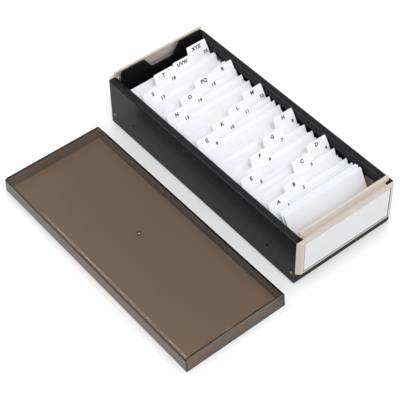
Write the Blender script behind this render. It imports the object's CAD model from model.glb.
from math import cos, radians, sin

import bmesh
import bpy
from mathutils import Matrix, Vector


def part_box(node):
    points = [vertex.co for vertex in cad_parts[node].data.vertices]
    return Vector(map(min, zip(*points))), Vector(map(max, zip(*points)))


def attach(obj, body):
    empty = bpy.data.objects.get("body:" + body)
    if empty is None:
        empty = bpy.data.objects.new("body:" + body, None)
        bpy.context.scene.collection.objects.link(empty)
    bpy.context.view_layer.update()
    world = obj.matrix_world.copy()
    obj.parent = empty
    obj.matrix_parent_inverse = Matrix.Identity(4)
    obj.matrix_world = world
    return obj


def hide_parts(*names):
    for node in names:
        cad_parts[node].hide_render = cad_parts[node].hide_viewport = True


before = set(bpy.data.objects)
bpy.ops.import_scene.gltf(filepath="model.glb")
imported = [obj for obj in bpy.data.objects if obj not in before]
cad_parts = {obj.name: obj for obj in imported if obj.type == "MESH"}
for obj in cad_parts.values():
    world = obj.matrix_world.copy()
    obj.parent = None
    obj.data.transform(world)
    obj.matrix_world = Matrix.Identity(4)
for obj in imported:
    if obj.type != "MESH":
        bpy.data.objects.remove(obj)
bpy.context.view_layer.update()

# All lengths are in metres, as the frame's are
MM = 0.001

# Camera, at the photograph's viewing angle
VIEW_AIM = Vector((-57.1, -3.3, 0.0)) * MM
VIEW_AWAY = 1180.7 * MM
VIEW_TURN = radians(37.98)
VIEW_DIP = radians(47.65)
VIEW_ROLL = radians(-1.38)
VIEW_LENS = 116.03
SENSOR = 36.0

# Light: a soft sky, two large soft lamps, and a small one at the rear that shows only in gloss
SKY_LEVEL = 0.78
LAMPS = {
    "front_light": dict(turn=radians(22), rise=radians(60), away=4.0, wide=2.2, high=2.2, power=74.0),
    "side_light": dict(turn=radians(-120), rise=radians(68), away=4.0, wide=1.6, high=1.6, power=18.0),
    "rear_light": dict(turn=radians(180), rise=radians(60), away=3.0, wide=0.6, high=0.8, power=40.0,
                       only_gloss=True),
}
# Floor, with the share of plain white mixed into it where it is seen as background
FLOOR_SIZE = 12.0
FLOOR_LIFT = 0.14
FLOOR_DROP = 0.1 * MM

# Rounding of the moulded and pressed edges; the tray's short edges stay sharp
CAP_EDGE = 0.3 * MM
PLATE_EDGE = 0.3 * MM
SHEET_EDGE = 0.15 * MM
SHEET_SHORT = 4 * MM
EDGE_STEPS = 2
# Points nearer than this are one, facets flatter are one face, and sharper corners are edges
MERGE = 0.001 * MM
FLAT = radians(0.5)
SHARP = radians(40)
# Reach of the moulding mark and of its pip from the middle of the lid
LID_MARK = 2.5 * MM
LID_PIP = 0.9 * MM
# Depth of the lid's long walls, how much light passes there, and in its top from the middle to the right
LID_WALL = 2.4 * MM
LID_LEFT = (0.6, 0.56, 0.54)
LID_RIGHT = (0.3, 0.29, 0.28)
LID_SHADE = 0.86
# Tint of the smoke plastic, and how fast it deepens per metre
SMOKE_TINT = (0.48, 0.35, 0.21)
SMOKE_DEPTH = 1130.0
# Reach round the label plates that takes in their recesses, and the lean past which a face looks out
LABEL_REACH = 0.7 * MM
LOOKS_OUT = 0.5

# Height of the fine relief in paint, cream plastic, black plastic and paper
PAINT_PEEL = 0.006 * MM
CREAM_SPARK = 0.02 * MM
PLATE_GRAIN = 0.02 * MM
PAPER_FIBRE = 0.012 * MM
FIBRE_STRETCH = (0.3, 1, 1)
RELIEF = 0.5
# Unevenness of the paper's sheen
PAPER_SPREAD = 0.06
# Middle range of a noise pattern, which finishes stretch to their own range
NOISE_LOW = 0.3
NOISE_HIGH = 0.7

# Filed dividers and their printed marks
LEAN = radians(27.5)
BOARD = 0.4 * MM
INDEX = ["A", "B", "C", "D", "E", "F", "G", "H", "IJ", "K",
         "L", "M", "N", "O", "PQ", "R", "S", "T", "UVW", "XYZ"]
COLUMNS = 4
LETTER_UP = 58.2 * MM
LETTER_ASIDE = -0.7 * MM
LETTER_SIZE = 4.9 * MM
NUMBER_UP = 50.5 * MM
NUMBER_ASIDE = 8.2 * MM
NUMBER_SIZE = 4.3 * MM
INK = 0.03 * MM
INK_BOLD = 0.22 * MM
INK_SPACING = 1.15
INK_CURVE = 3
# Numbers that sit lower than the others, hidden by the sheets in front
LOW_NUMBERS = {"R": 1.8 * MM, "UVW": 1.8 * MM}


# Materials

def background_rays(tree):
    """Is 1 where the background is seen directly, mirrored or through clear plastic, and else 0."""
    path = tree.nodes.new("ShaderNodeLightPath")
    share = path.outputs["Is Camera Ray"]
    for ray in ("Is Glossy Ray", "Is Transmission Ray"):
        either = tree.nodes.new("ShaderNodeMath")
        either.operation = "MAXIMUM"
        tree.links.new(share, either.inputs[0])
        tree.links.new(path.outputs[ray], either.inputs[1])
        share = either.outputs["Value"]
    return share


class Finish:
    """A material with its Principled shader, and short ways to add patterns in object space."""

    def __init__(self, name):
        self.material = bpy.data.materials.new(name)
        self.material.use_nodes = True
        self.tree = self.material.node_tree
        self.shader = self.tree.nodes["Principled BSDF"]
        self.output = self.tree.nodes["Material Output"]
        self.place = self.add("ShaderNodeTexCoord").outputs["Object"]

    def add(self, kind):
        return self.tree.nodes.new(kind)

    def join(self, source, target):
        self.tree.links.new(source, target)

    def set(self, **values):
        for name, value in values.items():
            self.shader.inputs[name.replace("_", " ")].default_value = value

    def noise(self, per_metre, detail=3.0, stretch=(1, 1, 1)):
        """A cloudy pattern with so many clouds to the metre."""
        mapping = self.add("ShaderNodeMapping")
        mapping.inputs["Scale"].default_value = stretch
        self.join(self.place, mapping.inputs["Vector"])
        noise = self.add("ShaderNodeTexNoise")
        noise.inputs["Scale"].default_value = per_metre
        noise.inputs["Detail"].default_value = detail
        self.join(mapping.outputs["Vector"], noise.inputs["Vector"])
        return noise.outputs["Fac"]

    def span(self, pattern, low, high):
        """The pattern's middle range, stretched to run from low to high."""
        span = self.add("ShaderNodeMapRange")
        span.inputs["From Min"].default_value = NOISE_LOW
        span.inputs["From Max"].default_value = NOISE_HIGH
        span.inputs["To Min"].default_value = low
        span.inputs["To Max"].default_value = high
        self.join(pattern, span.inputs["Value"])
        return span.outputs["Result"]

    def colour(self, pattern, first, second):
        ramp = self.add("ShaderNodeValToRGB")
        ramp.color_ramp.elements[0].position = NOISE_LOW
        ramp.color_ramp.elements[0].color = (*first, 1)
        ramp.color_ramp.elements[1].position = NOISE_HIGH
        ramp.color_ramp.elements[1].color = (*second, 1)
        self.join(pattern, ramp.inputs["Fac"])
        self.join(ramp.outputs["Color"], self.shader.inputs["Base Color"])

    def roughness(self, pattern, low, high):
        self.join(self.span(pattern, low, high), self.shader.inputs["Roughness"])

    def bump(self, pattern, height):
        bump = self.add("ShaderNodeBump")
        bump.inputs["Distance"].default_value = height
        bump.inputs["Strength"].default_value = RELIEF
        self.join(pattern, bump.inputs["Height"])
        self.join(bump.outputs["Normal"], self.shader.inputs["Normal"])


def black_paint():
    """Satin black stoved paint on steel sheet, with a fine orange peel."""
    paint = Finish("black_paint")
    paint.set(IOR=1.192, Specular_Tint=(0.93, 0.93, 1, 1))
    paint.colour(paint.noise(60), (0.0098, 0.0098, 0.0108), (0.0135, 0.0135, 0.0148))
    paint.roughness(paint.noise(220), 0.22, 0.28)
    paint.bump(paint.noise(1400, detail=2), PAINT_PEEL)
    return paint.material


def cream_moulding():
    """Warm cream plastic with a fine spark texture."""
    cream = Finish("cream_moulding")
    cream.set(IOR=1.46)
    cream.colour(cream.noise(90, detail=4), (0.53, 0.47, 0.41), (0.565, 0.505, 0.445))
    cream.roughness(cream.noise(500), 0.36, 0.48)
    cream.bump(cream.noise(2600, detail=2), CREAM_SPARK)
    return cream.material


def black_plastic():
    """Dull black plastic of the back plate, with a fine grain."""
    plastic = Finish("black_plastic")
    plastic.set(IOR=1.217)
    plastic.colour(plastic.noise(80), (0.0035, 0.0035, 0.004), (0.006, 0.006, 0.0066))
    plastic.roughness(plastic.noise(400), 0.55, 0.68)
    plastic.bump(plastic.noise(2200, detail=2), PLATE_GRAIN)
    return plastic.material


def tint_across_lid(smoke):
    """Lets less light through the lid's long walls and the right half of its top."""
    low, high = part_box("lid")
    across = smoke.add("ShaderNodeSeparateXYZ")
    smoke.join(smoke.place, across.inputs["Vector"])
    share = smoke.add("ShaderNodeMapRange")
    share.inputs["From Min"].default_value = low.x
    share.inputs["From Max"].default_value = high.x
    smoke.join(across.outputs["X"], share.inputs["Value"])
    ramp = smoke.add("ShaderNodeValToRGB")
    ramp.color_ramp.elements[0].color = (*LID_LEFT, 1)
    ramp.color_ramp.elements[1].color = (*LID_RIGHT, 1)
    wall = LID_WALL / (high.x - low.x)
    for place, light in ((wall, 1.0), (0.5, LID_SHADE), (1 - wall, LID_SHADE)):
        ramp.color_ramp.elements.new(place).color = (light, light, light, 1)
    smoke.join(share.outputs["Result"], ramp.inputs["Fac"])
    smoke.join(ramp.outputs["Color"], smoke.shader.inputs["Base Color"])


def let_light_through(smoke):
    """Lets scattered light and shadows pass straight through the surface."""
    path = smoke.add("ShaderNodeLightPath")
    passing = smoke.add("ShaderNodeBsdfTransparent")
    surface = smoke.shader.outputs["BSDF"]
    for ray in ("Is Diffuse Ray", "Is Shadow Ray"):
        mix = smoke.add("ShaderNodeMixShader")
        smoke.join(path.outputs[ray], mix.inputs[0])
        smoke.join(surface, mix.inputs[1])
        smoke.join(passing.outputs["BSDF"], mix.inputs[2])
        surface = mix.outputs["Shader"]
    smoke.join(surface, smoke.output.inputs["Surface"])


def smoke_plastic():
    """Clear smoke-brown plastic: the colour comes from the depth of plastic that light passes."""
    smoke = Finish("smoke_plastic")
    smoke.set(IOR=1.49, Transmission_Weight=1.0, Specular_Tint=(0.64, 0.64, 0.64, 1))
    smoke.roughness(smoke.noise(25), 0.02, 0.05)
    tint_across_lid(smoke)
    depth = smoke.add("ShaderNodeVolumeAbsorption")
    depth.inputs["Color"].default_value = (*SMOKE_TINT, 1)
    depth.inputs["Density"].default_value = SMOKE_DEPTH
    smoke.join(depth.outputs["Volume"], smoke.output.inputs["Volume"])
    let_light_through(smoke)
    return smoke.material


def dull_plastic(name, dark, light):
    """Plastic that lies in shade or that the mould left dull."""
    dull = Finish(name)
    dull.colour(dull.noise(700), dark, light)
    dull.roughness(dull.noise(900), 0.35, 0.5)
    return dull.material


def paper(name, dark, light, cloud, rough):
    """Uncoated stock with faint clouds and a fine fibre."""
    stock = Finish(name)
    stock.set(IOR=1.31)
    stock.colour(stock.noise(cloud, detail=5), dark, light)
    stock.roughness(stock.noise(900), rough - PAPER_SPREAD, rough + PAPER_SPREAD)
    stock.bump(stock.noise(3000, stretch=FIBRE_STRETCH), PAPER_FIBRE)
    return stock.material


def index_ink():
    """Dark grey printing ink, a little uneven."""
    ink = Finish("index_ink")
    ink.colour(ink.noise(2500), (0.008, 0.008, 0.01), (0.02, 0.02, 0.023))
    ink.roughness(ink.noise(1500), 0.5, 0.65)
    return ink.material


def floor_finish():
    """White glossy studio floor, a little nearer to white where it is seen as background."""
    floor = Finish("floor_finish")
    floor.set(IOR=1.43)
    floor.colour(floor.noise(3), (0.95, 0.95, 0.95), (0.96, 0.96, 0.96))
    floor.roughness(floor.noise(8), 0.16, 0.2)
    share = floor.add("ShaderNodeMath")
    share.operation = "MULTIPLY"
    share.inputs[1].default_value = FLOOR_LIFT
    floor.join(background_rays(floor.tree), share.inputs[0])
    white = floor.add("ShaderNodeEmission")
    mix = floor.add("ShaderNodeMixShader")
    floor.join(share.outputs["Value"], mix.inputs[0])
    floor.join(floor.shader.outputs["BSDF"], mix.inputs[1])
    floor.join(white.outputs["Emission"], mix.inputs[2])
    floor.join(mix.outputs["Shader"], floor.output.inputs["Surface"])
    return floor.material


PAINT = black_paint()
CREAM = cream_moulding()
PLATE = black_plastic()
SMOKE = smoke_plastic()
BOARD_PAPER = paper("divider_board", (0.895, 0.895, 0.925), (0.92, 0.92, 0.945), 40, 0.62)
CARD_PAPER = paper("card_paper", (0.905, 0.905, 0.93), (0.93, 0.93, 0.95), 30, 0.55)
FRONT_PAPER = paper("front_paper", (0.90, 0.91, 0.95), (0.92, 0.93, 0.965), 30, 0.55)
LABEL_PAPER = paper("label_paper", (0.68, 0.68, 0.70), (0.71, 0.71, 0.725), 35, 0.6)
INDEX_INK = index_ink()
SEAT = dull_plastic("label_seat", (0.045, 0.04, 0.036), (0.06, 0.054, 0.048))
MARK = dull_plastic("lid_mark", (0.006, 0.004, 0.003), (0.012, 0.009, 0.007))
PIP = dull_plastic("lid_pip", (0.27, 0.22, 0.185), (0.33, 0.27, 0.225))


# Pieces

def show(name, shape, material):
    """Turns a bmesh into an object at the origin, smooth but for its sharp edges."""
    mesh = bpy.data.meshes.new(name)
    shape.to_mesh(mesh)
    shape.free()
    if "custom_normal" in mesh.attributes:
        mesh.attributes.remove(mesh.attributes["custom_normal"])
    mesh.materials.clear()
    mesh.materials.append(material)
    mesh.polygons.foreach_set("material_index", [0] * len(mesh.polygons))
    mesh.polygons.foreach_set("use_smooth", [True] * len(mesh.polygons))
    mesh.set_sharp_from_angle(angle=SHARP)
    piece = bpy.data.objects.new(name, mesh)
    bpy.context.scene.collection.objects.link(piece)
    return piece


def rounded_copy(node, name, body, material, edge=0.0, least=0.0):
    """Stands in for a CAD node, with its sharp edges rounded where edge is given, but for short ones."""
    shape = bmesh.new()
    shape.from_mesh(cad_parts[node].data)
    bmesh.ops.remove_doubles(shape, verts=shape.verts, dist=MERGE)
    bmesh.ops.dissolve_limit(shape, angle_limit=FLAT, verts=shape.verts, edges=shape.edges)
    if edge > 0:
        sharp = [e for e in shape.edges
                 if e.is_manifold and e.calc_face_angle() > SHARP and e.calc_length() > least]
        bmesh.ops.bevel(shape, geom=sharp, offset=edge, offset_type="OFFSET", segments=EDGE_STEPS,
                        profile=0.5, affect="EDGES", clamp_overlap=False, material=-1)
    piece = show(name, shape, material)
    shading = piece.modifiers.new("flat_faces", "WEIGHTED_NORMAL")
    shading.keep_sharp = True
    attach(piece, body)
    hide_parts(node)
    return piece


def within_lid_mark(face, reach=LID_MARK):
    """Tells whether a face of the lid lies in the moulding mark in its top."""
    low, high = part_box("lid")
    middle = (low + high) / 2
    return all((v.co - middle).to_2d().length < reach for v in face.verts)


def within_pip(face):
    """Tells whether a face of the lid lies in the pip of its moulding mark."""
    return within_lid_mark(face, LID_PIP)


def wall_of_label_seat(face):
    """Tells whether a face of an end cap is a side wall of its label recess."""
    if abs(face.normal.y) > LOOKS_OUT:
        return False
    end = "front_label" if face.calc_center_median().y < 0 else "rear_label"
    low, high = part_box(end)
    reach = Vector((LABEL_REACH, LABEL_REACH, LABEL_REACH))
    return all(all(a < c < b for a, c, b in zip(low - reach, v.co, high + reach)) for v in face.verts)


def refinish(piece, material, chosen):
    """Gives the chosen faces of a piece another material."""
    piece.data.materials.append(material)
    shape = bmesh.new()
    shape.from_mesh(piece.data)
    for face in shape.faces:
        if chosen(face):
            face.material_index = len(piece.data.materials) - 1
    shape.to_mesh(piece.data)
    shape.free()


def print_mark(shape, words, size, place):
    """Adds raised print to a bmesh, upright in the plane that place sets."""
    curve = bpy.data.curves.new("mark", "FONT")
    curve.body = words
    curve.size = size
    curve.align_x = "CENTER"
    curve.align_y = "CENTER"
    curve.space_character = INK_SPACING
    curve.extrude = INK
    curve.offset = INK_BOLD
    curve.resolution_u = INK_CURVE
    writer = bpy.data.objects.new("mark", curve)
    bpy.context.scene.collection.objects.link(writer)
    bpy.context.view_layer.update()
    seen = writer.evaluated_get(bpy.context.evaluated_depsgraph_get())
    mesh = bpy.data.meshes.new_from_object(seen)
    mesh.transform(place)
    shape.from_mesh(mesh)
    bpy.data.objects.remove(writer)
    bpy.data.curves.remove(curve)
    bpy.data.meshes.remove(mesh)


def index_marks():
    """Letters on the tabs, with a running number beside and below each."""
    wide_low, wide_high = (corner.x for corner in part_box("divider_a"))
    column = (wide_high - wide_low) / COLUMNS
    up = Vector((0, sin(LEAN), cos(LEAN)))
    out = Vector((0, -cos(LEAN), sin(LEAN)))
    for i, words in enumerate(INDEX):
        letters = words.lower()
        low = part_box("divider_" + letters)[0]
        foot = Vector((wide_low + column * (i % COLUMNS + 0.5), low.y, low.z + BOARD * sin(LEAN)))
        shape = bmesh.new()
        for text, size, aside, rise in ((words, LETTER_SIZE, LETTER_ASIDE, LETTER_UP),
                                        (str(i + 1), NUMBER_SIZE, NUMBER_ASIDE,
                                         NUMBER_UP - LOW_NUMBERS.get(words, 0.0))):
            at = foot + Vector((aside, 0, 0)) + up * rise + out * INK
            place = Matrix.Translation(at) @ Matrix((Vector((1, 0, 0)), up, out)).transposed().to_4x4()
            print_mark(shape, text, size, place)
        bmesh.ops.remove_doubles(shape, verts=shape.verts, dist=MERGE)
        bmesh.ops.recalc_face_normals(shape, faces=shape.faces)
        piece = show("index_" + letters, shape, INDEX_INK)
        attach(piece, "section_" + letters)


def paper_finishes():
    """Gives the paper pieces of the frame their stock."""
    for node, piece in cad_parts.items():
        for start, stock in (("divider_", BOARD_PAPER), ("cards_", CARD_PAPER),
                             ("front_cards", FRONT_PAPER), ("front_sheets", FRONT_PAPER),
                             ("front_label", LABEL_PAPER), ("rear_label", LABEL_PAPER)):
            if node.startswith(start):
                piece.material_slots[0].material = stock


# Studio

def add_floor():
    """A plain level floor, a hair below the object."""
    shape = bmesh.new()
    bmesh.ops.create_grid(shape, x_segments=1, y_segments=1, size=FLOOR_SIZE / 2)
    bmesh.ops.translate(shape, verts=shape.verts, vec=(0, 0, -FLOOR_DROP))
    floor = show("floor", shape, floor_finish())


def add_sky():
    """Light from all round, and plain white where the background shows."""
    world = bpy.data.worlds.new("sky")
    bpy.context.scene.world = world
    world.use_nodes = True
    tree = world.node_tree
    level = tree.nodes.new("ShaderNodeMapRange")
    level.inputs["To Min"].default_value = SKY_LEVEL
    level.inputs["To Max"].default_value = 1.0
    tree.links.new(background_rays(tree), level.inputs["Value"])
    sky = tree.nodes["Background"]
    sky.inputs["Color"].default_value = (1, 1, 1, 1)
    tree.links.new(level.outputs["Result"], sky.inputs["Strength"])


def add_lamp(name, turn, rise, away, wide, high, power, only_gloss=False):
    """A flat lamp that faces the object, turned from straight in front to the left."""
    lamp = bpy.data.lights.new(name, "AREA")
    lamp.energy = power
    lamp.shape = "RECTANGLE"
    lamp.size = wide
    lamp.size_y = high
    holder = bpy.data.objects.new(name, lamp)
    holder.visible_diffuse = not only_gloss
    bpy.context.scene.collection.objects.link(holder)
    towards = Vector((-cos(rise) * sin(turn), -cos(rise) * cos(turn), sin(rise)))
    facing = towards.to_track_quat("Z", "Y").to_matrix().to_4x4()
    holder.matrix_world = Matrix.Translation(VIEW_AIM + towards * away) @ facing


def add_camera():
    """The photograph's view, from the left in front and from above."""
    camera = bpy.data.cameras.new("camera")
    camera.sensor_fit = "HORIZONTAL"
    camera.sensor_width = SENSOR
    camera.lens = VIEW_LENS
    holder = bpy.data.objects.new("camera", camera)
    bpy.context.scene.collection.objects.link(holder)
    ahead = Vector((cos(VIEW_DIP) * sin(VIEW_TURN), cos(VIEW_DIP) * cos(VIEW_TURN), -sin(VIEW_DIP)))
    level = ahead.to_track_quat("-Z", "Y").to_matrix().to_4x4()
    turned = level @ Matrix.Rotation(VIEW_ROLL, 4, "Z")
    holder.matrix_world = Matrix.Translation(VIEW_AIM - ahead * VIEW_AWAY) @ turned
    bpy.context.scene.camera = holder


add_camera()
paper_finishes()
rounded_copy("tray", "folded_tray", "case", PAINT, SHEET_EDGE, least=SHEET_SHORT)
for end in ("front_cap", "rear_cap"):
    cap = rounded_copy(end, end + "_moulding", "case", CREAM, CAP_EDGE)
    refinish(cap, SEAT, wall_of_label_seat)
rounded_copy("back_plate", "follower_plate", "follower", PLATE, PLATE_EDGE)
lid = rounded_copy("lid", "smoke_lid", "lid_cover", SMOKE)
refinish(lid, MARK, within_lid_mark)
refinish(lid, PIP, within_pip)
index_marks()
add_floor()
add_sky()
for name, values in LAMPS.items():
    add_lamp(name, **values)
bpy.context.scene.view_settings.view_transform = "Standard"
